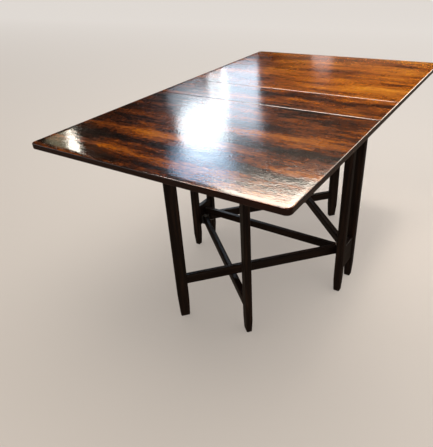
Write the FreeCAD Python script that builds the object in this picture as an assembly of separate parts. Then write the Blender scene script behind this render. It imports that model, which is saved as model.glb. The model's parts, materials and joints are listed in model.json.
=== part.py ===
import FreeCAD, Part
import math
import os

# Drop-leaf table on a fixed centre frame, with four gate legs that carry two hinged leaves.
# Millimetres. X runs along the seams between centre board and leaves, Y from leaf to leaf,
# Z up from the floor. The origin is on the floor under the middle of the centre board.

V = FreeCAD.Vector
EAST, NORTH, UP = V(1, 0, 0), V(0, 1, 0), V(0, 0, 1)
TINY = 1e-4                  # below this two places are one

# ---- top ----
TABLE_HEIGHT = 730.0
TOP_WIDTH = 880.0            # along X
TOP_LENGTH = 1440.0          # along Y, both leaves raised
CENTRE_BOARD = 200.0         # along Y
TOP_THICKNESS = 19.0
SEAM_GAP = 0.8               # between centre board and leaf
CORNER_RADIUS = 16.0         # outer corners of the leaves, in plan
TOP_ROUNDING = 4.0           # upper arris of the outer edges
UNDER_ROUNDING = 3.0         # lower arris of the outer edges
SEAM_BEVEL = 1.0             # upper arris on both sides of a seam

# ---- fixed frame ----
LEG_SIZE = 30.0
LEG_ROUNDING = 6.0
LEG_FOOT = 27.0              # square of the foot, below the taper
SHOULDER_SPARE = 3.0         # by which a foot's cone clears the leg's corners at the shoulder
FOOT_RADIUS = 13.9           # of the cone that turns away the foot's corners, at the floor
FOOT_ROUNDING = 8.0          # of the toe, seen from the front and from the side
END_OVERHANG = 95.0          # end of the top beyond the leg centres, along X
LEG_PAIR_SPACING = 118.0     # between the two legs of an end frame, along Y
RAIL_THICKNESS = 20.0
RAIL_ROUNDING = 2.5
LOWER_RAIL_BOTTOM = 98.0
LOWER_RAIL_HEIGHT = 98.0
UPPER_RAIL_HEIGHT = 90.0
STRETCHER_HEIGHT = 31.0
STRETCHER_THICKNESS = 18.0
STRETCHER_LEVEL = 160.0      # centre of the lower stretcher
TOP_RAIL_HEIGHT = 50.0

# ---- gates ----
GATE_LEG_WIDTH = 42.0
GATE_LEG_THICKNESS = 24.0
GATE_LEG_ROUNDING = 4.5
GATE_FOOT_WIDTH = 35.0
GATE_FOOT_THICKNESS = 22.0
GATE_FOOT_RADIUS = 11.5      # of the two cones that turn away the foot's corners, at the floor
GATE_TOE_ROUNDING = 8.0      # of the toe, seen on the leg's flat and on its edge
BAR_HEIGHT = 38.0
BAR_THICKNESS = 23.0
BAR_ROUNDING = 6.5
NEAR_LEFT_OPENING = 48.0     # degrees between the seam and the gate that carries this corner
NEAR_RIGHT_OPENING = 41.2    # degrees, as above
FAR_RIGHT_OPENING = 47.5     # degrees, as above
FAR_LEFT_OPENING = 45.1      # degrees, as above
LOW_BAR_LEVEL = 122.0        # bar centres of the gates hinged at the left end
HIGH_BAR_LEVEL = 172.0       # bar centres of the gates hinged at the right end
LOW_TOP_BAR_DROP = 66.0      # upper bar centres below the underside of the top
HIGH_TOP_BAR_DROP = 26.0
PIVOT_OFFSET = 23.0          # pivots from the middle plane, along Y
PIVOT_STANDOFF = 16.0        # pivots from the inner face of the end rail
FOLD_CLEARANCE = 2.5         # folded gate leg to the leg of the fixed frame

# ---- joints in wood ----
TENON_THICKNESS = 7.0
TENON_DEPTH = 13.0
TENON_SHOULDER = 4.0         # above and below a bar's or stretcher's tenon
RAIL_TENON_SHOULDER = 12.0   # above and below an end rail's tenon
TENON_FIT = 0.05             # glue line around a tenon
TENON_END_GAP = 0.5          # mortise deeper than the tenon

# ---- pivot hardware ----
BRACKET_WIDTH = 20.0
BRACKET_PLATE = 3.0
BRACKET_BEND = 2.0           # inner bend of the plate
BAR_SIDE_PLAY = 0.3          # bar to bracket ear
PIVOT_RADIUS = 4.0
PIVOT_FIT = 0.05
PIVOT_HEAD_RADIUS = 6.5
PIVOT_HEAD = 1.8
SCREW_RADIUS = 2.0
SCREW_HEAD_RADIUS = 3.6
BRACKET_SCREW_PITCH = 16.0

# ---- leaf hinges and stops ----
HINGE_LENGTH = 50.0
HINGE_FLAP = 28.0            # from pin to free edge
HINGE_PLATE = 2.2
HINGE_CORNER = 4.0
HINGE_INSET = 55.0           # middle of an outer hinge from the end of the top
KNUCKLE_RADIUS = 4.0
KNUCKLE_SHARE = 17.4         # length of the leaf's middle knuckle
KNUCKLE_PLAY = 0.3
HINGE_PIN_RADIUS = 2.0
HINGE_PIN_FIT = 0.05
HINGE_POCKET_FIT = 0.1
HINGE_SCREW_SIDE = 17.0      # outer screws from the middle of the flap
HINGE_SCREW_NEAR = 11.0      # outer screws from the pin
HINGE_SCREW_FAR = 21.0       # middle screw from the pin
STOP_LENGTH = 56.0
STOP_WIDTH = 18.0
STOP_HEIGHT = 15.0
STOP_ROUNDING = 3.0
LEAF_REST_GAP = 0.3          # gate leg top to leaf, and stop block to gate leg

# ---- places that follow from the sizes ----
underside = TABLE_HEIGHT - TOP_THICKNESS
half_width = TOP_WIDTH / 2
seam = CENTRE_BOARD / 2
leaf_start = seam + SEAM_GAP
leaf_end = TOP_LENGTH / 2
pin_line = seam + SEAM_GAP / 2
frame_x = half_width - END_OVERHANG
frame_y = LEG_PAIR_SPACING / 2
rail_face = frame_x - RAIL_THICKNESS / 2
pivot_x = rail_face - PIVOT_STANDOFF
gate_reach = pivot_x + frame_x - LEG_SIZE / 2 - FOLD_CLEARANCE - GATE_LEG_WIDTH / 2
bar_length = gate_reach - GATE_LEG_WIDTH / 2
upper_rail_bottom = underside - UPPER_RAIL_HEIGHT
taper_top = LOWER_RAIL_BOTTOM
low_levels = (LOW_BAR_LEVEL, underside - LOW_TOP_BAR_DROP)
high_levels = (HIGH_BAR_LEVEL, underside - HIGH_TOP_BAR_DROP)
hinge_places = (-(half_width - HINGE_INSET), 0.0, half_width - HINGE_INSET)
hinge_names = ("left", "middle", "right")

# Each gate: name, end that carries its pivots (X), side it opens to (Y), opening, bar levels.
LEFT, RIGHT, NEAR, FAR = -1, 1, -1, 1
gates = (
    ("near_left", RIGHT, NEAR, NEAR_LEFT_OPENING, high_levels),
    ("near_right", LEFT, NEAR, NEAR_RIGHT_OPENING, low_levels),
    ("far_right", LEFT, FAR, FAR_RIGHT_OPENING, low_levels),
    ("far_left", RIGHT, FAR, FAR_LEFT_OPENING, high_levels),
)
ends = (("left", LEFT), ("right", RIGHT))
sides = (("near", NEAR), ("far", FAR))


# ---- helpers ----
def box(x0, x1, y0, y1, z0, z1):
    return Part.makeBox(x1 - x0, y1 - y0, z1 - z0, V(x0, y0, z0))


def face_of(points):
    return Part.Face(Part.makePolygon([V(*p) for p in points + points[:1]]))


def edges_where(shape, wanted):
    """Edges whose every sample point meets the condition."""
    found = []
    for edge in shape.Edges:
        first, last = edge.ParameterRange
        points = [edge.valueAt(first + (last - first) * t) for t in (0.0, 0.5, 1.0)]
        if all(wanted(p) for p in points):
            found.append(edge)
    return found


def along(axis, edges):
    """The edges that start out parallel to the axis."""
    return [e for e in edges if e.tangentAt(e.FirstParameter).cross(axis).Length < TINY]


def leg_view(size, foot, depth, across, through, top):
    """Outline of a leg, straight above taper_top, as a prism of the given depth on the Z axis."""
    outline = [(foot / 2, 0), (size / 2, taper_top), (size / 2, top)]
    outline += [(-x, z) for x, z in reversed(outline)]
    view = face_of([tuple(across * x + UP * z - through * (depth / 2)) for x, z in outline])
    return view.extrude(through * depth).removeSplitter()


def turned_foot(leg, centres, foot_radius, shoulder_radius):
    """The leg with its corners turned away below taper_top, by a cone about each centre along X."""
    top = leg.BoundBox.ZMax
    left, right = centres[0], centres[-1]
    reach = shoulder_radius + TINY
    kept = box(left - reach, right + reach, -reach, reach, taper_top, top)
    for x in centres:
        kept = kept.fuse(Part.makeCone(foot_radius, shoulder_radius, taper_top, V(x, 0, 0), UP))
    if right > left:
        kept = kept.fuse(box(left, right, -reach, reach, 0, taper_top))
    return leg.common(kept).removeSplitter()


def corner_reach(width, thickness, rounding, centre):
    """Distance from a point centre along X to past the rounded corner of a centred rectangle."""
    x, y = width / 2 - rounding - centre, thickness / 2 - rounding
    return math.hypot(x, y) + rounding + SHOULDER_SPARE


def shaped(leg, view, through, toe):
    """The leg cut to its outline as seen along through, with the toes rounded."""
    toes = along(through, edges_where(view, lambda p: p.z < TINY))
    return leg.common(view.makeFillet(toe, toes))


def countersunk_hole(at, out, plate):
    """Cutter for a wood screw: a cone through the plate that opens along out."""
    return Part.makeCone(SCREW_RADIUS, SCREW_HEAD_RADIUS, plate, at - out * plate, out)


def tenon(length_from, width, height, level, end=1):
    """Tongue along X from a shoulder at length_from, centred on Y and on level."""
    x0, x1 = sorted((length_from, length_from + end * TENON_DEPTH))
    return box(x0, x1, -width / 2, width / 2, level - height / 2, level + height / 2)


def mortise(length_from, width, height, level, end=1):
    """Pocket for the same tenon, opened a little towards the shoulder's side."""
    x0, x1 = sorted((length_from - end * TENON_FIT, length_from + end * (TENON_DEPTH + TENON_END_GAP)))
    half_w = width / 2 + TENON_FIT
    half_h = height / 2 + TENON_FIT
    return box(x0, x1, -half_w, half_w, level - half_h, level + half_h)


def turned(shape, degrees, move=V(0, 0, 0)):
    placed = shape.copy()
    placed.rotate(V(0, 0, 0), UP, degrees)
    placed.translate(move)
    return placed


# ---- fixed frame ----
def frame_leg(end, side):
    """Square leg, straight above the lower rail and tapered below it, with the rails' mortises."""
    half = LEG_SIZE / 2
    leg = box(-half, half, -half, half, 0, underside)
    leg = leg.makeFillet(LEG_ROUNDING, along(UP, leg.Edges))
    for across, through in ((EAST, NORTH), (NORTH, EAST)):
        view = leg_view(LEG_SIZE, LEG_FOOT, LEG_SIZE, across, through, underside)
        leg = shaped(leg, view, through, FOOT_ROUNDING)
    shoulder = corner_reach(LEG_SIZE, LEG_SIZE, LEG_ROUNDING, 0)
    leg = turned_foot(leg, (0,), FOOT_RADIUS, shoulder)
    for bottom, height in end_rail_sizes():
        pocket = mortise(LEG_SIZE / 2, TENON_THICKNESS, height - 2 * RAIL_TENON_SHOULDER,
                         bottom + height / 2, -1)
        leg = leg.cut(turned(pocket, -90 * side))
    leg.translate(V(end * frame_x, side * frame_y, 0))
    return leg


def end_rail_sizes():
    return ((LOWER_RAIL_BOTTOM, LOWER_RAIL_HEIGHT), (upper_rail_bottom, UPPER_RAIL_HEIGHT))


def end_rail(end, bottom, height, bar_level, bar_height):
    """Rail between the two legs of an end frame, tenoned at both ends, mortised for the middle rail."""
    half = frame_y - LEG_SIZE / 2
    rail = box(-half, half, -RAIL_THICKNESS / 2, RAIL_THICKNESS / 2, bottom, bottom + height)
    rail = rail.makeFillet(RAIL_ROUNDING, along(EAST, rail.Edges))
    tongue = height - 2 * RAIL_TENON_SHOULDER
    for way in (-1, 1):
        rail = rail.fuse(tenon(way * half, TENON_THICKNESS, tongue, bottom + height / 2, way))
    rail = turned(rail.removeSplitter(), 90)
    pocket = mortise(-RAIL_THICKNESS / 2, TENON_THICKNESS, bar_height - 2 * TENON_SHOULDER, bar_level)
    rail = rail.cut(turned(pocket, 0 if end == RIGHT else 180))
    rail.translate(V(end * frame_x, 0, 0))
    return rail


def middle_rail(height, level):
    """Long rail in the middle plane, from end rail to end rail."""
    rail = box(-rail_face, rail_face, -STRETCHER_THICKNESS / 2, STRETCHER_THICKNESS / 2,
               level - height / 2, level + height / 2)
    rail = rail.makeFillet(RAIL_ROUNDING, along(EAST, rail.Edges))
    for end in (LEFT, RIGHT):
        rail = rail.fuse(tenon(end * rail_face, TENON_THICKNESS, height - 2 * TENON_SHOULDER, level, end))
    return rail.removeSplitter()


# ---- gates ----
def gate_leg(levels):
    """Flat leg in the plane y = 0, tapered in its own plane to a domed foot, mortised for two bars."""
    top = underside - LEAF_REST_GAP
    half_width, half_thickness = GATE_LEG_WIDTH / 2, GATE_LEG_THICKNESS / 2
    leg = box(-half_width, half_width, -half_thickness, half_thickness, 0, top)
    leg = leg.makeFillet(GATE_LEG_ROUNDING, along(UP, leg.Edges))
    front = leg_view(GATE_LEG_WIDTH, GATE_FOOT_WIDTH, GATE_LEG_THICKNESS, EAST, NORTH, top)
    side = leg_view(GATE_LEG_THICKNESS, GATE_FOOT_THICKNESS, GATE_LEG_WIDTH, NORTH, EAST, top)
    leg = shaped(leg, front, NORTH, GATE_TOE_ROUNDING)
    leg = shaped(leg, side, EAST, GATE_TOE_ROUNDING)
    centre = GATE_FOOT_WIDTH / 2 - GATE_FOOT_THICKNESS / 2
    shoulder = corner_reach(GATE_LEG_WIDTH, GATE_LEG_THICKNESS, GATE_LEG_ROUNDING, centre)
    leg = turned_foot(leg, (-centre, centre), GATE_FOOT_RADIUS, shoulder)
    for level in levels:
        leg = leg.cut(mortise(-GATE_LEG_WIDTH / 2, TENON_THICKNESS,
                              BAR_HEIGHT - 2 * TENON_SHOULDER, level))
    leg.translate(V(gate_reach, 0, 0))
    return leg


def gate_bar(level):
    """Bar from the pivot at the origin to the leg: half-round at the pivot, tenoned at the leg."""
    half = BAR_THICKNESS / 2
    start, end = V(0, half, 0), V(0, -half, 0)
    outline = Part.Wire([
        Part.LineSegment(V(bar_length, half, 0), start).toShape(),
        Part.Arc(start, V(-half, 0, 0), end).toShape(),
        Part.LineSegment(end, V(bar_length, -half, 0)).toShape(),
        Part.LineSegment(V(bar_length, -half, 0), V(bar_length, half, 0)).toShape()])
    bar = box(-half, bar_length, -half, half, 0, BAR_HEIGHT)
    bar = bar.makeFillet(BAR_ROUNDING, along(EAST, bar.Edges))
    bar = bar.common(Part.Face(outline).extrude(UP * BAR_HEIGHT))
    bar.translate(V(0, 0, level - BAR_HEIGHT / 2))
    bar = bar.fuse(tenon(bar_length, TENON_THICKNESS, BAR_HEIGHT - 2 * TENON_SHOULDER, level))
    bore = Part.makeCylinder(PIVOT_RADIUS + PIVOT_FIT, BAR_HEIGHT, V(0, 0, level - BAR_HEIGHT / 2))
    return bar.removeSplitter().cut(bore)


def ear_distance():
    """From the middle of a bar to the inner face of a bracket ear."""
    return BAR_HEIGHT / 2 + BAR_SIDE_PLAY


def pivot_bracket(level):
    """U of steel plate, its web on the plane x = PIVOT_STANDOFF, its ears round the pin at the origin."""
    outer = ear_distance() + BRACKET_PLATE
    half = BRACKET_WIDTH / 2
    block = box(0, PIVOT_STANDOFF, -half, half, level - outer, level + outer)
    nose = Part.makeCylinder(half, 2 * outer, V(0, 0, level - outer))
    block = block.fuse(nose).removeSplitter()
    bends = along(NORTH, edges_where(block, lambda p: abs(p.x - PIVOT_STANDOFF) < TINY))
    block = block.makeFillet(BRACKET_BEND + BRACKET_PLATE, bends)
    web_face = PIVOT_STANDOFF - BRACKET_PLATE
    room = box(-BRACKET_WIDTH, web_face, -BRACKET_WIDTH, BRACKET_WIDTH,
               level - ear_distance(), level + ear_distance())
    inner = along(NORTH, edges_where(room, lambda p: abs(p.x - web_face) < TINY))
    bracket = block.cut(room.makeFillet(BRACKET_BEND, inner))
    bore = Part.makeCylinder(PIVOT_RADIUS + PIVOT_FIT, 2 * outer, V(0, 0, level - outer))
    bracket = bracket.cut(bore)
    for way in (-1, 1):
        at = V(web_face, 0, level + way * BRACKET_SCREW_PITCH / 2)
        bracket = bracket.cut(countersunk_hole(at, -EAST, BRACKET_PLATE))
    return bracket


def pivot_pin(level):
    """Headed pin through both ears of a bracket and the bar between them."""
    outer = ear_distance() + BRACKET_PLATE
    shank = Part.makeCylinder(PIVOT_RADIUS, 2 * outer, V(0, 0, level - outer))
    head = Part.makeCylinder(PIVOT_HEAD_RADIUS, PIVOT_HEAD, V(0, 0, level + outer))
    return shank.fuse(head).removeSplitter()


def at_gate(shape, end, side, opening):
    """Places a piece drawn along +X from its pivot on the gate's own line."""
    heading = math.degrees(math.atan2(side * math.sin(math.radians(opening)),
                                      -end * math.cos(math.radians(opening))))
    return turned(shape, heading, V(end * pivot_x, side * PIVOT_OFFSET, 0))


def at_pivot(shape, end, side):
    """Places pivot hardware drawn with its web towards +X."""
    return turned(shape, 0 if end == RIGHT else 180, V(end * pivot_x, side * PIVOT_OFFSET, 0))


# ---- top ----
def board_outline(y0, y1, radius):
    """Plan of a board from the seam at y0 to y1; radius rounds the corners at y1."""
    way = 1 if y1 > y0 else -1
    w = half_width
    if not radius:
        return face_of([(-w, y0, underside), (w, y0, underside), (w, y1, underside), (-w, y1, underside)])
    d = radius * (1 - math.sqrt(0.5))
    pts = [V(-w, y0, underside), V(w, y0, underside), V(w, y1 - way * radius, underside),
           V(w - d, y1 - way * d, underside), V(w - radius, y1, underside), V(radius - w, y1, underside),
           V(d - w, y1 - way * d, underside), V(-w, y1 - way * radius, underside)]
    straights = [Part.LineSegment(pts[a], pts[b]).toShape() for a, b in ((0, 1), (1, 2), (4, 5), (7, 0))]
    corners = [Part.Arc(*pts[a:a + 3]).toShape() for a in (2, 5)]
    return Part.Face(Part.Wire(Part.sortEdges(straights + corners)[0]))


def eased(board, seam_y):
    """Rounds both outer arrises of a board, and bevels the upper arris of its seams at seam_y."""
    for z, radius in ((TABLE_HEIGHT, TOP_ROUNDING), (underside, UNDER_ROUNDING)):
        rim = [e for e in edges_where(board, lambda p: abs(p.z - z) < TINY)
               if abs(abs(e.CenterOfMass.y) - seam_y) > TINY]
        board = board.makeFillet(radius, rim)
    seam_edges = edges_where(board, lambda p: abs(p.z - TABLE_HEIGHT) < TINY
                             and abs(abs(p.y) - seam_y) < TINY)
    return board.makeChamfer(SEAM_BEVEL, seam_edges)


def hinge_cutter(middle, side, towards):
    """Pocket for one flap and its knuckle groove, on the side of the pin that towards points to."""
    half = HINGE_LENGTH / 2 + HINGE_POCKET_FIT
    y_pin = side * pin_line
    y0, y1 = sorted((y_pin, y_pin + towards * (HINGE_FLAP + HINGE_POCKET_FIT)))
    pocket = box(middle - half, middle + half, y0, y1, underside - HINGE_PLATE, underside + HINGE_PLATE)
    groove = Part.makeCylinder(KNUCKLE_RADIUS + KNUCKLE_PLAY, 2 * half,
                               V(middle - half, y_pin, underside), EAST)
    return pocket.fuse(groove)


def centre_board():
    board = board_outline(-seam, seam, 0).extrude(UP * TOP_THICKNESS)
    board = eased(board, seam)
    cutters = [hinge_cutter(x, side, -side) for x in hinge_places for _, side in sides]
    return board.cut(cutters)


def leaf_board(side):
    board = board_outline(side * leaf_start, side * leaf_end, CORNER_RADIUS).extrude(UP * TOP_THICKNESS)
    board = eased(board, leaf_start)
    return board.cut([hinge_cutter(x, side, side) for x in hinge_places])


def hinge_flap(middle, side, towards, knuckles):
    """Recessed plate with its knuckles; knuckles is a list of (start, end) along the pin."""
    y_pin = side * pin_line
    half = HINGE_LENGTH / 2
    y0, y1 = sorted((y_pin, y_pin + towards * HINGE_FLAP))
    plate = box(-half, half, y0, y1, underside, underside + HINGE_PLATE)
    free = y_pin + towards * HINGE_FLAP
    plate = plate.makeFillet(HINGE_CORNER, along(UP, edges_where(plate, lambda p: abs(p.y - free) < TINY)))
    rolls = [Part.makeCylinder(KNUCKLE_RADIUS, b - a, V(a, y_pin, underside), EAST) for a, b in knuckles]
    gaps = [Part.makeCylinder(KNUCKLE_RADIUS + KNUCKLE_PLAY, b - a, V(a, y_pin, underside), EAST)
            for a, b in between(knuckles, half)]
    flap = plate.cut(gaps).fuse(rolls).removeSplitter()
    for x, y in ((-HINGE_SCREW_SIDE, HINGE_SCREW_NEAR), (HINGE_SCREW_SIDE, HINGE_SCREW_NEAR),
                 (0, HINGE_SCREW_FAR)):
        at = V(x, y_pin + towards * y, underside)
        flap = flap.cut(countersunk_hole(at, -UP, HINGE_PLATE))
    flap.translate(V(middle, 0, 0))
    return flap


def between(knuckles, half):
    """The stretches of the pin, from -half to half, that other knuckles fill."""
    stops = [-half] + [v for pair in knuckles for v in pair] + [half]
    pairs = zip(stops[0::2], stops[1::2])
    return [(a, b) for a, b in pairs if b - a > TINY]


def fixed_hinge_flap(middle, side):
    """Flap on the centre board, with the two outer knuckles and the pin riveted into them."""
    half = HINGE_LENGTH / 2
    inner = KNUCKLE_SHARE / 2 + KNUCKLE_PLAY
    flap = hinge_flap(middle, side, -side, [(-half, -inner), (inner, half)])
    start = V(middle - half, side * pin_line, underside)
    pin = Part.makeCylinder(HINGE_PIN_RADIUS, HINGE_LENGTH, start, EAST)
    return flap.fuse(pin).removeSplitter()


def leaf_hinge_flap(middle, side):
    """Flap on the leaf, with the middle knuckle bored for the pin."""
    inner = KNUCKLE_SHARE / 2
    flap = hinge_flap(middle, side, side, [(-inner, inner)])
    start = V(middle - HINGE_LENGTH / 2, side * pin_line, underside)
    return flap.cut(Part.makeCylinder(HINGE_PIN_RADIUS + HINGE_PIN_FIT, HINGE_LENGTH, start, EAST))


def leaf_stop(end, side):
    """Block under a leaf, drawn on its gate's line, on the side that the gate opens towards."""
    near = GATE_LEG_THICKNESS / 2 + LEAF_REST_GAP
    y0, y1 = sorted((-end * side * near, -end * side * (near + STOP_WIDTH)))
    stop = box(gate_reach - STOP_LENGTH / 2, gate_reach + STOP_LENGTH / 2, y0, y1,
               underside - STOP_HEIGHT, underside)
    return stop.makeFillet(STOP_ROUNDING, along(UP, stop.Edges))


# ---- all pieces ----
def build():
    pieces = {"centre_board": centre_board()}
    for end_name, end in ends:
        for side_name, side in sides:
            pieces["frame_leg_%s_%s" % (side_name, end_name)] = frame_leg(end, side)
        pieces["end_rail_lower_" + end_name] = end_rail(
            end, LOWER_RAIL_BOTTOM, LOWER_RAIL_HEIGHT, STRETCHER_LEVEL, STRETCHER_HEIGHT)
        pieces["end_rail_upper_" + end_name] = end_rail(
            end, upper_rail_bottom, UPPER_RAIL_HEIGHT, underside - TOP_RAIL_HEIGHT / 2, TOP_RAIL_HEIGHT)
    pieces["stretcher_lower"] = middle_rail(STRETCHER_HEIGHT, STRETCHER_LEVEL)
    pieces["rail_under_top"] = middle_rail(TOP_RAIL_HEIGHT, underside - TOP_RAIL_HEIGHT / 2)
    for name, end, side, opening, levels in gates:
        pieces["gate_leg_" + name] = at_gate(gate_leg(levels), end, side, opening)
        pieces["leaf_stop_" + name] = at_gate(leaf_stop(end, side), end, side, opening)
        for place, level in zip(("lower", "upper"), levels):
            pieces["gate_bar_%s_%s" % (place, name)] = at_gate(gate_bar(level), end, side, opening)
            pieces["pivot_bracket_%s_%s" % (place, name)] = at_pivot(pivot_bracket(level), end, side)
            pieces["pivot_pin_%s_%s" % (place, name)] = at_pivot(pivot_pin(level), end, side)
    for side_name, side in sides:
        pieces["leaf_board_" + side_name] = leaf_board(side)
        for hinge_name, x in zip(hinge_names, hinge_places):
            pieces["hinge_fixed_%s_%s" % (side_name, hinge_name)] = fixed_hinge_flap(x, side)
            pieces["hinge_leaf_%s_%s" % (side_name, hinge_name)] = leaf_hinge_flap(x, side)
    return pieces


os.makedirs("parts", exist_ok=True)
for node, shape in build().items():
    if len(shape.Solids) != 1 or not shape.isValid():
        raise ValueError("%s: %d solids, valid %s" % (node, len(shape.Solids), shape.isValid()))
    shape.Solids[0].exportStep("parts/%s.step" % node)
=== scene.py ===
import json
import math
import bmesh
import bpy
from mathutils import Matrix, Vector


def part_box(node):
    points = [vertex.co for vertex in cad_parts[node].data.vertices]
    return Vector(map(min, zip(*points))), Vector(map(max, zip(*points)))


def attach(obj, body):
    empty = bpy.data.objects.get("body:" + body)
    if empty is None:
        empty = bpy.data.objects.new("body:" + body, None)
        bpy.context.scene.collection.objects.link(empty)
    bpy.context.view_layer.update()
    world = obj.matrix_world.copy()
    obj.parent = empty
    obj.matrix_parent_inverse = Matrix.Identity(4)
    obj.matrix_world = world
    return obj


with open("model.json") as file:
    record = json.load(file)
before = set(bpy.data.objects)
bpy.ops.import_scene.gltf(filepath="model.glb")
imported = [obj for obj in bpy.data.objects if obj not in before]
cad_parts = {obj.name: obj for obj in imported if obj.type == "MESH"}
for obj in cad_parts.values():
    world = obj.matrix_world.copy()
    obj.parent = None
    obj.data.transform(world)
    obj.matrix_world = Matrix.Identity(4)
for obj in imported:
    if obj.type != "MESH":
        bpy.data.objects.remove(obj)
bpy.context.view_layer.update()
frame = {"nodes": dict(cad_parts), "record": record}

# Looks of the folding table: woods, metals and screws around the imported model, a floor, lights
# and the camera. Metres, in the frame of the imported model: X along the seams, Z up.

# ---- camera ----
CAMERA_AT = Vector((0.7937, -1.4702, 1.2056))
CAMERA_AIM = Vector((0.0149, -0.4005, 0.4000))
CAMERA_ROLL = math.radians(3.92)         # clockwise lean of the level camera
CAMERA_LENS = 37.5
SENSOR_WIDTH = 36.0

# ---- the open top: its level, width and length, and where its seams are along Y ----
TOP_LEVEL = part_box("centre_board")[1].z
TOP_SIZE = (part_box("centre_board")[1].x * 2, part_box("leaf_board_far")[1].y * 2)
SEAM = (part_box("centre_board")[1].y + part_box("leaf_board_far")[0].y) / 2
SEAM_BEVEL = 0.0014                      # from the middle of a seam to the end of its bevel

# ---- veneer ----
# Lightness, waviness and seed of each board's figure.
VENEER_CUTS = {"leaf_board_near": (-0.05, 0.035, 31.0), "centre_board": (-0.03, 0.02, 2.0),
               "leaf_board_far": (0.10, 0.09, 365.0)}
VENEER_TONES = [
    (0.26, (0.0060, 0.0018, 0.0008)), (0.38, (0.0280, 0.0062, 0.0012)),
    (0.46, (0.1000, 0.0200, 0.0020)), (0.55, (0.2400, 0.0520, 0.0030)),
    (0.68, (0.4800, 0.1300, 0.0060)), (0.88, (0.7000, 0.2600, 0.0200))]
BAND_WEIGHT, STREAK_WEIGHT, FLECK_WEIGHT = 1.25, 0.65, 0.60
PAINTED_LIGHT_LEFT_TO_RIGHT = 0.06                     # painted light: the left end is darker by so much, and the right end lighter, as light falls from the right
PORE_TONE, PORE_SHARE = (0.006, 0.003, 0.002), 0.80
EDGE_TONES = ((0.0050, 0.0018, 0.0012), (0.0280, 0.0075, 0.0035))
EDGE_LEAN = (0.88, 0.60)                 # rise of a face's normal where an edge starts, and is full

# ---- lacquer ----
COAT_ROUGHNESS = 0.06
OPEN_GRAIN = ((-0.05, 0.20), (0.9, 1.5))   # along X its dents deepen from one factor to the other
RIM_ROLL, RIM_CURVE = 0.022, 2.2         # width of its roll-off at the rim; depth = curve x square
SEAM_ROLL, SEAM_CURVE = 0.0045, 42.0     # the same at a seam, from the seam's middle

# ---- dark wood of the frame ----
FRAME_TONES = [(0.34, (0.0060, 0.0028, 0.0016)), (0.50, (0.0140, 0.0062, 0.0030)),
               (0.66, (0.0360, 0.0150, 0.0060))]
FRAME_PORE_TONE, FRAME_PORE_SHARE = (0.003, 0.002, 0.0018), 0.6

# ---- metals: clean tone, stained tone, roughness of clean and stained, seed ----
BRASS = ((0.55, 0.36, 0.13), (0.16, 0.085, 0.035), (0.28, 0.50), 1)
BRACKET_STEEL = ((0.36, 0.35, 0.33), (0.10, 0.085, 0.07), (0.32, 0.55), 5)
PIN_STEEL = ((0.52, 0.51, 0.49), (0.18, 0.15, 0.12), (0.22, 0.42), 9)

# ---- screws ----
BRACKET_PLATE = 0.003
BRACKET_SCREW_PITCH = 0.016
HINGE_SCREW_PLACES = ((-0.017, 0.011), (0.017, 0.011), (0.0, 0.021))   # along the pin, from the pin
KNUCKLE_RADIUS = 0.004
SCREW_HEAD_RADIUS = 0.0034
SCREW_FACE_RADIUS = SCREW_HEAD_RADIUS * 0.94   # flat part of the head
SCREW_HEAD_RIM = 0.00012                 # height of the rounding of the head
SCREW_SHANK_RADIUS = 0.0018
SCREW_CONE_DEPTH = SCREW_HEAD_RADIUS - SCREW_SHANK_RADIUS + 0.0001
SCREW_LENGTH = 0.0038
SCREW_SIDES = 40
SCREW_SET_BACK = 0.00015                 # head below the face of its plate
SCREW_SLOT = (0.0009, 0.0007)            # width and depth
SLOT_TURNS = (1.1, 2.3, 7.0)             # radians: of the first slot, from one to the next, per metre of X

# ---- floor: where its tone starts and ends along Y, and the tones between, darker towards the front as painted shade ----
FLOOR_HALF_SIZE = 25.0
FLOOR_FRONT = -1.5
FLOOR_BACK = 10.0
FLOOR_TONES_AND_PAINTED_SHADE = [(0.04, (0.42, 0.38, 0.34)), (0.18, (0.49, 0.45, 0.41)), (0.65, (0.64, 0.61, 0.58))]
# painted glow: the floor emits its own tone, though it is no lamp, to lift the shadows on it
FLOOR_GLOW = 0.56
FLOOR_MIRRORED = (0.11, 0.085, 0.065)    # painted glow: the plain tone that the table's gloss mirrors in place of the lit floor

# ---- room: colour and strength, for all but gloss and for gloss ----
ROOM = ((1.0, 0.97, 0.94), 0.62)
ROOM_IN_GLOSS = ((0.60, 0.46, 0.34), 0.02)

# ---- lights that don't show in gloss: place, (width, height), watts, colour ----
SOFTBOX = ((0.3, 0.1, 3.6), (3.0, 3.0), 60.0, (1.0, 0.94, 0.87))
FAR_FILL = ((0.40, 0.70, 2.6), (0.5, 0.5), 1.5, (1.0, 0.92, 0.84))
FAR_FILL_AIM = (0.20, 0.40, 0.73)        # on the far leaf
FAR_FILL_SPREAD = math.radians(36)

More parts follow.
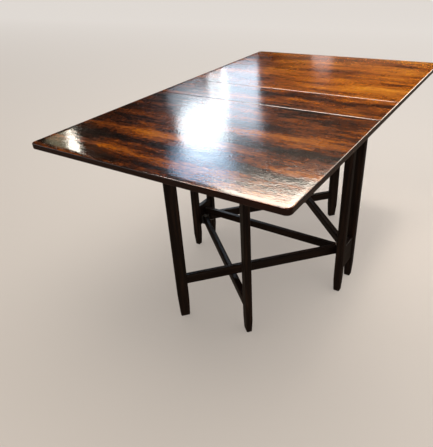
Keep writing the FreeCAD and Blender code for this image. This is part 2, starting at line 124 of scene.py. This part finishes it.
# ---- lights that show in gloss alone ----
# What the top mirrors, in directions in which the camera sees it mirrored:
# name, (azimuth, elevation), distance, shape, (width, height), watts, colour.
MIRRORED_CAMERA = Vector((CAMERA_AT.x, CAMERA_AT.y, 2 * TOP_LEVEL - CAMERA_AT.z))
REFLECTIONS = (
    ("window", (-37.0, 19.4), 5.0, "ELLIPSE", (0.54, 0.54), 4.6, (0.86, 0.94, 1.0)),
    ("window_high", (-34.7, 15.2), 5.0, "RECTANGLE", (0.20, 0.40), 0.8, (0.86, 0.94, 1.0)),
    ("window_side", (-31.9, 16.2), 5.2, "RECTANGLE", (0.40, 0.74), 2.9, (0.70, 0.84, 1.0)),
    ("window_left", (-38.3, 15.8), 5.1, "ELLIPSE", (0.50, 0.34), 0.45, (0.74, 0.86, 1.0)),
    ("window_low", (-37.3, 24.2), 5.1, "ELLIPSE", (0.72, 0.64), 4.6, (0.46, 0.70, 1.0)),
    ("wall_haze", (-22.0, 10.8), 5.0, "ELLIPSE", (0.22, 0.40), 0.18, (1.0, 0.74, 0.70)),
    ("far_haze", (-18.0, 10.0), 5.0, "ELLIPSE", (1.6, 0.40), 0.34, (1.0, 0.80, 0.66)),
    ("lamp_left", (-53.7, 19.5), 4.0, "ELLIPSE", (0.07, 0.20), 0.50, (1.0, 0.92, 0.80)),
    ("lamp_haze", (-55.0, 18.7), 4.1, "ELLIPSE", (0.26, 0.24), 0.12, (1.0, 0.88, 0.56)),
    ("lamp_near", (-28.5, 33.6), 4.0, "RECTANGLE", (1.0, 0.86), 32.0, (1.0, 0.90, 0.76)),
    ("rim_near", (-8.0, 35.5), 4.0, "RECTANGLE", (1.9, 0.70), 30.0, (1.0, 0.90, 0.76)),
    ("rim", (3.0, 22.0), 4.0, "RECTANGLE", (0.60, 1.9), 26.0, (1.0, 0.90, 0.76)),
)
# Place, (width, height), watts, colour. It points straight down, and the seams mirror it.
CEILING_STRIP = ((-0.95, -0.80, 3.2), (1.9, 0.6), 130.0, (1.0, 0.88, 0.80))
# Pale panels for the other sides: their places, then their (width, height), watts and colour.
PANELS = {"panel_front": (3.0, -3.2, 1.9), "panel_side": (3.2, 3.0, 1.9), "panel_left": (-3.2, -3.0, 1.9)}
PANEL = ((2.6, 1.2), 16.0, (1.0, 0.96, 0.92))


# ---- node graphs ----
COLOUR_MIX_INPUTS = (0, 6, 7)            # factor and colours among the sockets of a Mix node
COLOUR_MIX_OUTPUT = 2


def supply(tree, socket, value):
    """Links the socket to another one, or sets it to a value."""
    if isinstance(value, bpy.types.NodeSocket):
        tree.links.new(value, socket)
    else:
        socket.default_value = value


def add(tree, kind, inputs=None, **settings):
    """Adds a node with its settings, and supplies its inputs."""
    node = tree.nodes.new("ShaderNode" + kind)
    for name, value in settings.items():
        setattr(node, name, value)
    for name, value in (inputs or {}).items():
        supply(tree, node.inputs[name], value)
    return node


def math_node(tree, operation, first, second=0.0):
    return add(tree, "Math", {0: first, 1: second}, operation=operation).outputs[0]


def weighted(tree, *terms):
    """Sum of the (value, weight) pairs, each value taken from its middle of 0.5, about 0.5."""
    total = 0.5
    for value, weight in terms:
        part = math_node(tree, "MULTIPLY", math_node(tree, "SUBTRACT", value, 0.5), weight)
        total = math_node(tree, "ADD", part, total)
    return total


def ramp(tree, factor, stops):
    """Colour ramp; stops is a list of (place, colour)."""
    node = add(tree, "ValToRGB", {"Fac": factor})
    elements = node.color_ramp.elements
    while len(elements) < len(stops):
        elements.new(0.5)
    for element, (place, colour) in zip(elements, stops):
        element.position = place
        element.color = (*colour, 1.0)
    return node.outputs["Color"]


def map_range(tree, value, across, onto):
    """Maps the range across onto another one, and holds its ends beyond them."""
    return add(tree, "MapRange", {"Value": value, "From Min": across[0], "From Max": across[1],
                                  "To Min": onto[0], "To Max": onto[1]}).outputs[0]


def mix(tree, factor, first, second, blend="MIX"):
    """Mix of two colours, each a socket or three numbers."""
    first, second = (colour if isinstance(colour, bpy.types.NodeSocket) else (*colour, 1.0)
                     for colour in (first, second))
    inputs = dict(zip(COLOUR_MIX_INPUTS, (factor, first, second)))
    return add(tree, "Mix", inputs, data_type="RGBA", blend_type=blend).outputs[COLOUR_MIX_OUTPUT]


def grey(tree, value):
    return add(tree, "CombineColor", {"Red": value, "Green": value, "Blue": value}).outputs[0]


def noise(tree, vector, stretch, detail=4.0, roughness=0.55, distortion=0.0, w=0.0):
    """Noise whose features are 1/stretch metres long along each axis; w is its seed."""
    scaled = add(tree, "Mapping", {"Vector": vector, "Scale": stretch}).outputs[0]
    return add(tree, "TexNoise", {"Vector": scaled, "Scale": 1.0, "Detail": detail, "W": w,
                                  "Roughness": roughness, "Distortion": distortion},
               noise_dimensions="4D").outputs["Fac"]


def bump(tree, height, strength, distance, normal=None):
    inputs = {"Height": height, "Strength": strength, "Distance": distance}
    if normal:
        inputs["Normal"] = normal
    return add(tree, "Bump", inputs).outputs[0]


def new_material(name):
    material = bpy.data.materials.new(name)
    material.use_nodes = True
    tree = material.node_tree
    tree.nodes.clear()
    shader = add(tree, "BsdfPrincipled")
    output = add(tree, "OutputMaterial")
    tree.links.new(shader.outputs[0], output.inputs["Surface"])
    return material, tree, shader


def feed(tree, shader, **sources):
    """Supplies sockets of the shader; base_color means "Base Color"."""
    for name, value in sources.items():
        supply(tree, shader.inputs[name.replace("_", " ").title().replace("Ior", "IOR")], value)


# ---- woods ----
def grain_space(tree, direction):
    """Coordinates with their X axis along the grain; direction is a unit vector."""
    place = add(tree, "TexCoord").outputs["Object"]
    turn = Vector((1, 0, 0)).rotation_difference(Vector(direction)).inverted().to_euler()
    return add(tree, "Mapping", {"Vector": place, "Rotation": turn}).outputs[0]


def figure_space(tree, place, parts, waviness, seed):
    """A board's coordinates with the figure drifting across in long waves."""
    wave = noise(tree, place, stretch=(2.6, 6.0, 6.0), detail=2.0, w=seed)
    drift = math_node(tree, "MULTIPLY", math_node(tree, "SUBTRACT", wave, 0.5), waviness)
    shifted = math_node(tree, "ADD", parts["Y"], drift)
    return add(tree, "CombineXYZ", {"X": parts["X"], "Y": shifted, "Z": parts["Z"]}).outputs[0]


def figure_colour(tree, figure, parts, streaks, lightness, seed):
    """Tones of the figure: broad bands, streaks and short flecks, and painted light that makes them
    lighter towards the right end.
    """
    bands = noise(tree, figure, stretch=(2.2, 15.0, 4.0), detail=4.0, roughness=0.60, w=seed + 3)
    flecks = noise(tree, figure, stretch=(75.0, 150.0, 150.0), detail=3.0, roughness=0.7, w=seed + 7)
    level = weighted(tree, (bands, BAND_WEIGHT), (streaks, STREAK_WEIGHT), (flecks, FLECK_WEIGHT))
    # Painted light: the tones darken towards the left end and lighten towards the right.
    ends = (lightness - PAINTED_LIGHT_LEFT_TO_RIGHT, lightness + PAINTED_LIGHT_LEFT_TO_RIGHT)
    shift = map_range(tree, parts["X"], (-0.40, 0.40), ends)
    return ramp(tree, math_node(tree, "ADD", level, shift), VENEER_TONES)


def edge_mask(tree):
    """One on faces that stand upright, and nothing on those that lie level."""
    normal = add(tree, "SeparateXYZ", {"Vector": add(tree, "NewGeometry").outputs["True Normal"]})
    return map_range(tree, math_node(tree, "ABSOLUTE", normal.outputs["Z"]), EDGE_LEAN, (0.0, 1.0))


def squared_past(tree, distance, curve):
    """The square of a distance times the curve, and nothing where the distance is negative."""
    square = math_node(tree, "POWER", math_node(tree, "MAXIMUM", distance, 0.0), 2.0)
    return math_node(tree, "MULTIPLY", square, curve)


def rolled_rim(tree, parts):
    """Depth, in metres, by which the lacquer rolls off near the rim of the top and its seams."""
    width, length = TOP_SIZE
    depths = []
    for axis, half in (("X", width / 2 - RIM_ROLL), ("Y", length / 2 - RIM_ROLL)):
        past = math_node(tree, "SUBTRACT", math_node(tree, "ABSOLUTE", parts[axis]), half)
        depths.append(squared_past(tree, past, RIM_CURVE))
    from_middle = math_node(tree, "ABSOLUTE", parts["Y"])
    from_seam = math_node(tree, "ABSOLUTE", math_node(tree, "SUBTRACT", from_middle, SEAM))
    past = math_node(tree, "SUBTRACT", SEAM_ROLL, math_node(tree, "MAXIMUM", from_seam, SEAM_BEVEL))
    depths.append(squared_past(tree, past, SEAM_CURVE))
    return math_node(tree, "ADD", math_node(tree, "ADD", depths[0], depths[1]), depths[2])


def lacquer_normal(tree, place, figure, parts, seed):
    """Normal of the lacquer: fine dents, a long swell, and the roll-off at the rim and seams."""
    dents = noise(tree, figure, stretch=(180.0, 145.0, 145.0), detail=2.0, roughness=0.6, w=seed + 17)
    open_grain = map_range(tree, parts["X"], *OPEN_GRAIN)
    depth = math_node(tree, "MULTIPLY", dents, open_grain)
    dented = bump(tree, depth, strength=1.0, distance=0.00026)
    swell = noise(tree, place, stretch=(11.0, 20.0, 20.0), detail=3.0, roughness=0.6, w=seed + 15)
    swelling = bump(tree, swell, strength=0.8, distance=0.0006, normal=dented)
    return bump(tree, rolled_rim(tree, parts), strength=1.0, distance=-1.0, normal=swelling)


def rosewood(name, cut):
    """Lacquered rosewood veneer with its figure along X; cut is (lightness, waviness, seed)."""
    lightness, waviness, seed = cut
    material, tree, shader = new_material(name)
    place = grain_space(tree, (1, 0, 0))
    parts = add(tree, "SeparateXYZ", {"Vector": place}).outputs
    figure = figure_space(tree, place, parts, waviness, seed)
    streaks = noise(tree, figure, stretch=(12.0, 95.0, 30.0), detail=5.0, roughness=0.70, w=seed + 5)
    fibre = noise(tree, figure, stretch=(22.0, 900.0, 300.0), detail=3.0, roughness=0.7, w=seed + 9)
    pores = noise(tree, figure, stretch=(60.0, 620.0, 400.0), detail=2.0, roughness=0.6, w=seed + 11)
    pore_mask = map_range(tree, pores, (0.54, 0.62), (0.0, 1.0))

    colour = figure_colour(tree, figure, parts, streaks, lightness, seed)
    fibre_tone = map_range(tree, fibre, (0.30, 0.70), (0.62, 1.25))
    colour = mix(tree, 1.0, colour, grey(tree, fibre_tone), "MULTIPLY")
    colour = mix(tree, math_node(tree, "MULTIPLY", pore_mask, PORE_SHARE), colour, PORE_TONE)
    colour = mix(tree, edge_mask(tree), colour, mix(tree, streaks, *EDGE_TONES))

    haze = noise(tree, place, stretch=(9.0, 7.0, 7.0), detail=4.0, roughness=0.6, w=seed + 13)
    roughness = map_range(tree, haze, (0.30, 0.72), (0.22, 0.34))
    pitted = bump(tree, pore_mask, strength=0.55, distance=-0.00012)
    normal = bump(tree, fibre, strength=0.20, distance=0.00006, normal=pitted)
    feed(tree, shader, base_color=colour, roughness=roughness, normal=normal, ior=1.5,
         coat_weight=1.0, coat_roughness=COAT_ROUGHNESS, specular_ior_level=0.05,
         coat_normal=lacquer_normal(tree, place, figure, parts, seed))
    return material


def frame_wood(name, direction, seed):
    """Dark stained wood with a satin finish; direction is that of the grain."""
    material, tree, shader = new_material(name)
    place = grain_space(tree, direction)
    streaks = noise(tree, place, stretch=(5.0, 110.0, 110.0), detail=5.0, roughness=0.6, distortion=0.3,
                    w=seed)
    cloud = noise(tree, place, stretch=(3.0, 14.0, 14.0), detail=3.0, w=seed + 2)
    level = math_node(tree, "ADD", math_node(tree, "MULTIPLY", streaks, 0.7),
                      math_node(tree, "MULTIPLY", cloud, 0.3))
    colour = ramp(tree, level, FRAME_TONES)
    pores = noise(tree, place, stretch=(60.0, 900.0, 900.0), detail=1.0, w=seed + 4)
    pore_mask = map_range(tree, pores, (0.60, 0.68), (0.0, 1.0))
    pore_share = math_node(tree, "MULTIPLY", pore_mask, FRAME_PORE_SHARE)
    colour = mix(tree, pore_share, colour, FRAME_PORE_TONE)
    roughness = map_range(tree, cloud, (0.3, 0.7), (0.36, 0.52))
    streaked = bump(tree, streaks, strength=0.25, distance=0.0002)
    normal = bump(tree, pore_mask, strength=0.35, distance=-0.0001, normal=streaked)
    feed(tree, shader, base_color=colour, roughness=roughness, normal=normal, ior=1.5,
         coat_weight=0.06, coat_roughness=0.30, specular_ior_level=0.16)
    return material


# ---- metals ----
def metal(name, clean, stained, rough, seed):
    """Worn plated metal: brushed lines, darker stains and small pits."""
    material, tree, shader = new_material(name)
    place = add(tree, "TexCoord").outputs["Object"]
    stain = noise(tree, place, stretch=(90.0, 90.0, 90.0), detail=6.0, roughness=0.65, w=seed)
    colour = mix(tree, map_range(tree, stain, (0.42, 0.66), (0.0, 1.0)), clean, stained)
    brushed = noise(tree, place, stretch=(120.0, 3500.0, 3500.0), detail=2.0, w=seed + 2)
    pits = noise(tree, place, stretch=(1500.0, 1500.0, 1500.0), detail=2.0, w=seed + 4)
    roughness = map_range(tree, stain, (0.35, 0.70), rough)
    lined = bump(tree, brushed, strength=0.10, distance=0.00005)
    normal = bump(tree, pits, strength=0.15, distance=0.0001, normal=lined)
    feed(tree, shader, base_color=colour, metallic=0.75, roughness=roughness, normal=normal)
    return material


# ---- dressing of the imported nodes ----
def heading(node):
    """Level unit vector along a node's longest side, from its own vertices."""
    points = [v.co for v in frame["nodes"][node].data.vertices]
    centre = sum(points, Vector()) / len(points)
    far = max(points, key=lambda p: (p.xy - centre.xy).length)
    away = (far - centre).to_2d().normalized()
    return (away.x, away.y, 0.0)


def dress(node, material):
    """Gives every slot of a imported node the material."""
    obj = frame["nodes"][node]
    if not obj.material_slots:
        obj.data.materials.append(material)
    for slot in obj.material_slots:
        slot.material = material


def grain_of(node):
    """Direction in which a piece of the frame was cut from its board."""
    if node.startswith(("frame_leg", "gate_leg")):
        return (0, 0, 1)
    if node.startswith("end_rail"):
        return (0, 1, 0)
    if node.startswith(("gate_bar", "leaf_stop")):
        return heading(node)
    return (1, 0, 0)


def dress_frame():
    brass = metal("aged_brass", *BRASS)
    plated = metal("bracket_steel", *BRACKET_STEEL)
    pin = metal("pin_steel", *PIN_STEEL)
    for number, node in enumerate(sorted(frame["nodes"])):
        if node in VENEER_CUTS:
            dress(node, rosewood("rosewood_" + node, VENEER_CUTS[node]))
        elif node.startswith("hinge"):
            dress(node, brass)
        elif node.startswith("pivot_bracket"):
            dress(node, plated)
        elif node.startswith("pivot_pin"):
            dress(node, pin)
        else:
            dress(node, frame_wood("wood_" + node, grain_of(node), 3.0 * number))
    return brass, plated


# ---- screws ----
def screw_mesh(name):
    """Countersunk screw without its slot, with its head on the plane z = 0, facing +Z."""
    bm = bmesh.new()
    profile = [(0.0, 0.0), (SCREW_FACE_RADIUS, 0.0), (SCREW_HEAD_RADIUS, -SCREW_HEAD_RIM),
               (SCREW_SHANK_RADIUS, -SCREW_CONE_DEPTH), (SCREW_SHANK_RADIUS, -SCREW_LENGTH),
               (0.0, -SCREW_LENGTH)]
    verts = [bm.verts.new((r, 0.0, z)) for r, z in profile]
    edges = [bm.edges.new(pair) for pair in zip(verts, verts[1:])]
    bmesh.ops.spin(bm, geom=verts + edges, cent=(0, 0, 0), axis=(0, 0, 1), angle=2 * math.pi,
                   steps=SCREW_SIDES, use_duplicate=False)
    bmesh.ops.remove_doubles(bm, verts=bm.verts, dist=1e-6)
    bmesh.ops.recalc_face_normals(bm, faces=bm.faces)
    mesh = bpy.data.meshes.new(name)
    bm.to_mesh(mesh)
    bm.free()
    return mesh


def slot_cutter():
    bm = bmesh.new()
    width, depth = SCREW_SLOT
    size = Matrix.Diagonal((SCREW_HEAD_RADIUS * 3, width, depth * 2, 1.0))
    bmesh.ops.create_cube(bm, size=1.0, matrix=size)
    mesh = bpy.data.meshes.new("slot_cutter")
    bm.to_mesh(mesh)
    bm.free()
    return mesh


def slotted(mesh):
    """The mesh with the slot cut by a boolean, as a plain mesh."""
    screw = bpy.data.objects.new("screw_blank", mesh)
    cutter = bpy.data.objects.new("slot_cutter", slot_cutter())
    for obj in (screw, cutter):
        bpy.context.scene.collection.objects.link(obj)
    cut = screw.modifiers.new("slot", "BOOLEAN")
    cut.object = cutter
    cut.solver = "EXACT"
    evaluated = screw.evaluated_get(bpy.context.evaluated_depsgraph_get())
    done = bpy.data.meshes.new_from_object(evaluated)
    for obj in (screw, cutter):
        bpy.data.objects.remove(obj)
    return done


def screws(name, places, out, screw, material, body):
    """One piece holding a screw at each place, facing out, each with its slot turned otherwise."""
    bm = bmesh.new()
    upright = Vector((0, 0, 1)).rotation_difference(Vector(out)).to_matrix().to_4x4()
    first, step, per_metre = SLOT_TURNS
    for number, place in enumerate(places):
        turn = Matrix.Rotation(first + step * number + per_metre * place.x, 4, "Z")
        sunk = Vector(place) - Vector(out) * SCREW_SET_BACK
        one = screw.copy()
        one.transform(Matrix.Translation(sunk) @ upright @ turn)
        bm.from_mesh(one)
        bpy.data.meshes.remove(one)
    mesh = bpy.data.meshes.new(name)
    bm.to_mesh(mesh)
    bm.free()
    mesh.materials.clear()
    mesh.materials.append(material)
    obj = bpy.data.objects.new(name, mesh)
    bpy.context.scene.collection.objects.link(obj)
    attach(obj, body)


def body_of_node(node):
    return next(b for b, members in frame["record"]["behaviour"]["bodies"].items() if node in members)


def hinge_screw_places(node):
    """Screw places on a hinge flap, worked out from its box and the side that its plate is on."""
    low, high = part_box(node)
    middle = (low.x + high.x) / 2
    outward = -1 if "_near_" in node else 1
    plate_way = outward if node.startswith("hinge_leaf") else -outward
    pin_y = low.y + KNUCKLE_RADIUS if plate_way > 0 else high.y - KNUCKLE_RADIUS
    underside = low.z + KNUCKLE_RADIUS
    return [Vector((middle + x, pin_y + plate_way * y, underside)) for x, y in HINGE_SCREW_PLACES]


def bracket_screw_places(node):
    """Screw places on the web of a bracket, and the way that the screws face."""
    low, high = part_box(node)
    right_end = low.x > 0
    web = high.x - BRACKET_PLATE if right_end else low.x + BRACKET_PLATE
    y, z = (low.y + high.y) / 2, (low.z + high.z) / 2
    places = [Vector((web, y, z + way * BRACKET_SCREW_PITCH / 2)) for way in (-1, 1)]
    return places, (-1, 0, 0) if right_end else (1, 0, 0)


def add_screws(brass, plated):
    screw = slotted(screw_mesh("screw"))
    for node in sorted(frame["nodes"]):
        if node.startswith("hinge_"):
            screws("screws_" + node, hinge_screw_places(node), (0, 0, -1), screw, brass,
                   body_of_node(node))
        elif node.startswith("pivot_bracket"):
            places, out = bracket_screw_places(node)
            screws("screws_" + node, places, out, screw, plated, body_of_node(node))


# ---- floor, light and camera ----
def floor_surface(tree, shader):
    """The shader as seen from above, a plain painted glow in gloss, and clear from below."""
    mirrored = add(tree, "Emission", {"Color": (*FLOOR_MIRRORED, 1.0)})
    in_gloss = add(tree, "LightPath").outputs["Is Glossy Ray"]
    lit = add(tree, "MixShader", {0: in_gloss, 1: shader.outputs[0], 2: mirrored.outputs[0]})
    seen_from_below = add(tree, "NewGeometry").outputs["Backfacing"]
    clear = add(tree, "BsdfTransparent")
    surface = add(tree, "MixShader", {0: seen_from_below, 1: lit.outputs[0], 2: clear.outputs[0]})
    return surface.outputs[0]


def floor():
    """Plain pale floor, darker towards the front as painted shade, with a painted glow that lifts its
    shadows.
    """
    bm = bmesh.new()
    bmesh.ops.create_grid(bm, x_segments=1, y_segments=1, size=FLOOR_HALF_SIZE)
    mesh = bpy.data.meshes.new("floor")
    bm.to_mesh(mesh)
    bm.free()
    material, tree, shader = new_material("floor")
    place = add(tree, "SeparateXYZ", {"Vector": add(tree, "TexCoord").outputs["Object"]})
    # The tone falls off towards the front as painted shade.
    depth = map_range(tree, place.outputs["Y"], (FLOOR_FRONT, FLOOR_BACK), (0.0, 1.0))
    colour = ramp(tree, depth, FLOOR_TONES_AND_PAINTED_SHADE)
    # The emission is a painted glow that lifts the floor's shadows.
    feed(tree, shader, base_color=colour, roughness=0.9, specular_ior_level=0.1,
         emission_color=colour, emission_strength=FLOOR_GLOW)
    output = next(node for node in tree.nodes if node.type == "OUTPUT_MATERIAL")
    tree.links.new(floor_surface(tree, shader), output.inputs["Surface"])
    mesh.materials.append(material)
    obj = bpy.data.objects.new("floor", mesh)
    bpy.context.scene.collection.objects.link(obj)


def area_light(name, at, aim, size, power, colour, shows_in_gloss, shape="RECTANGLE"):
    """Flat light of some (width, height) that lights gloss alone or all but gloss."""
    lamp = bpy.data.lights.new(name, "AREA")
    lamp.shape = shape
    lamp.size, lamp.size_y = size
    lamp.energy = power
    lamp.color = colour
    obj = bpy.data.objects.new(name, lamp)
    bpy.context.scene.collection.objects.link(obj)
    obj.location = at
    obj.rotation_euler = (Vector(aim) - Vector(at)).to_track_quat("-Z", "Y").to_euler()
    obj.visible_camera = False
    obj.visible_glossy = shows_in_gloss
    obj.visible_diffuse = not shows_in_gloss
    return obj


def seen_in_top(azimuth, elevation, distance):
    """Place whose mirror image in the top the camera sees in that direction; azimuth from +Y to +X."""
    a, e = math.radians(azimuth), math.radians(elevation)
    return MIRRORED_CAMERA + distance * Vector((math.sin(a) * math.cos(e), math.cos(a) * math.cos(e),
                                                math.sin(e)))


def lights():
    top = Vector((0, 0, TOP_LEVEL))
    at, *kind = SOFTBOX
    area_light("softbox", at, top, *kind, shows_in_gloss=False)
    at, *kind = FAR_FILL
    fill = area_light("softbox_far", at, FAR_FILL_AIM, *kind, shows_in_gloss=False)
    fill.data.spread = FAR_FILL_SPREAD
    for name, direction, distance, shape, *kind in REFLECTIONS:
        area_light(name, seen_in_top(*direction, distance), top, *kind, shows_in_gloss=True, shape=shape)
    at, *kind = CEILING_STRIP
    below = (at[0], at[1], 0)
    area_light("ceiling_strip", at, below, *kind, shows_in_gloss=True)
    for name, at in PANELS.items():
        area_light(name, at, top, *PANEL, shows_in_gloss=True)


def room():
    """Even pale light for the floor and soft shadows, and a dim room for what shines to mirror."""
    world = bpy.data.worlds.new("world")
    world.use_nodes = True
    tree = world.node_tree
    tree.nodes.clear()
    bright, dim = (add(tree, "Background", {"Color": (*colour, 1.0), "Strength": strength})
                   for colour, strength in (ROOM, ROOM_IN_GLOSS))
    path = add(tree, "LightPath")
    both = add(tree, "MixShader", {0: path.outputs["Is Glossy Ray"], 1: bright.outputs[0],
                                   2: dim.outputs[0]})
    output = add(tree, "OutputWorld")
    tree.links.new(both.outputs[0], output.inputs["Surface"])
    bpy.context.scene.world = world


def camera():
    data = bpy.data.cameras.new("camera")
    data.sensor_fit = "HORIZONTAL"
    data.sensor_width = SENSOR_WIDTH
    data.lens = CAMERA_LENS
    obj = bpy.data.objects.new("camera", data)
    bpy.context.scene.collection.objects.link(obj)
    level = (CAMERA_AIM - CAMERA_AT).to_track_quat("-Z", "Y").to_matrix().to_4x4()
    obj.matrix_world = Matrix.Translation(CAMERA_AT) @ level @ Matrix.Rotation(-CAMERA_ROLL, 4, "Z")
    bpy.context.scene.camera = obj


brass, plated = dress_frame()
add_screws(brass, plated)
floor()
lights()
room()
camera()
bpy.context.scene.view_settings.view_transform = "Standard"
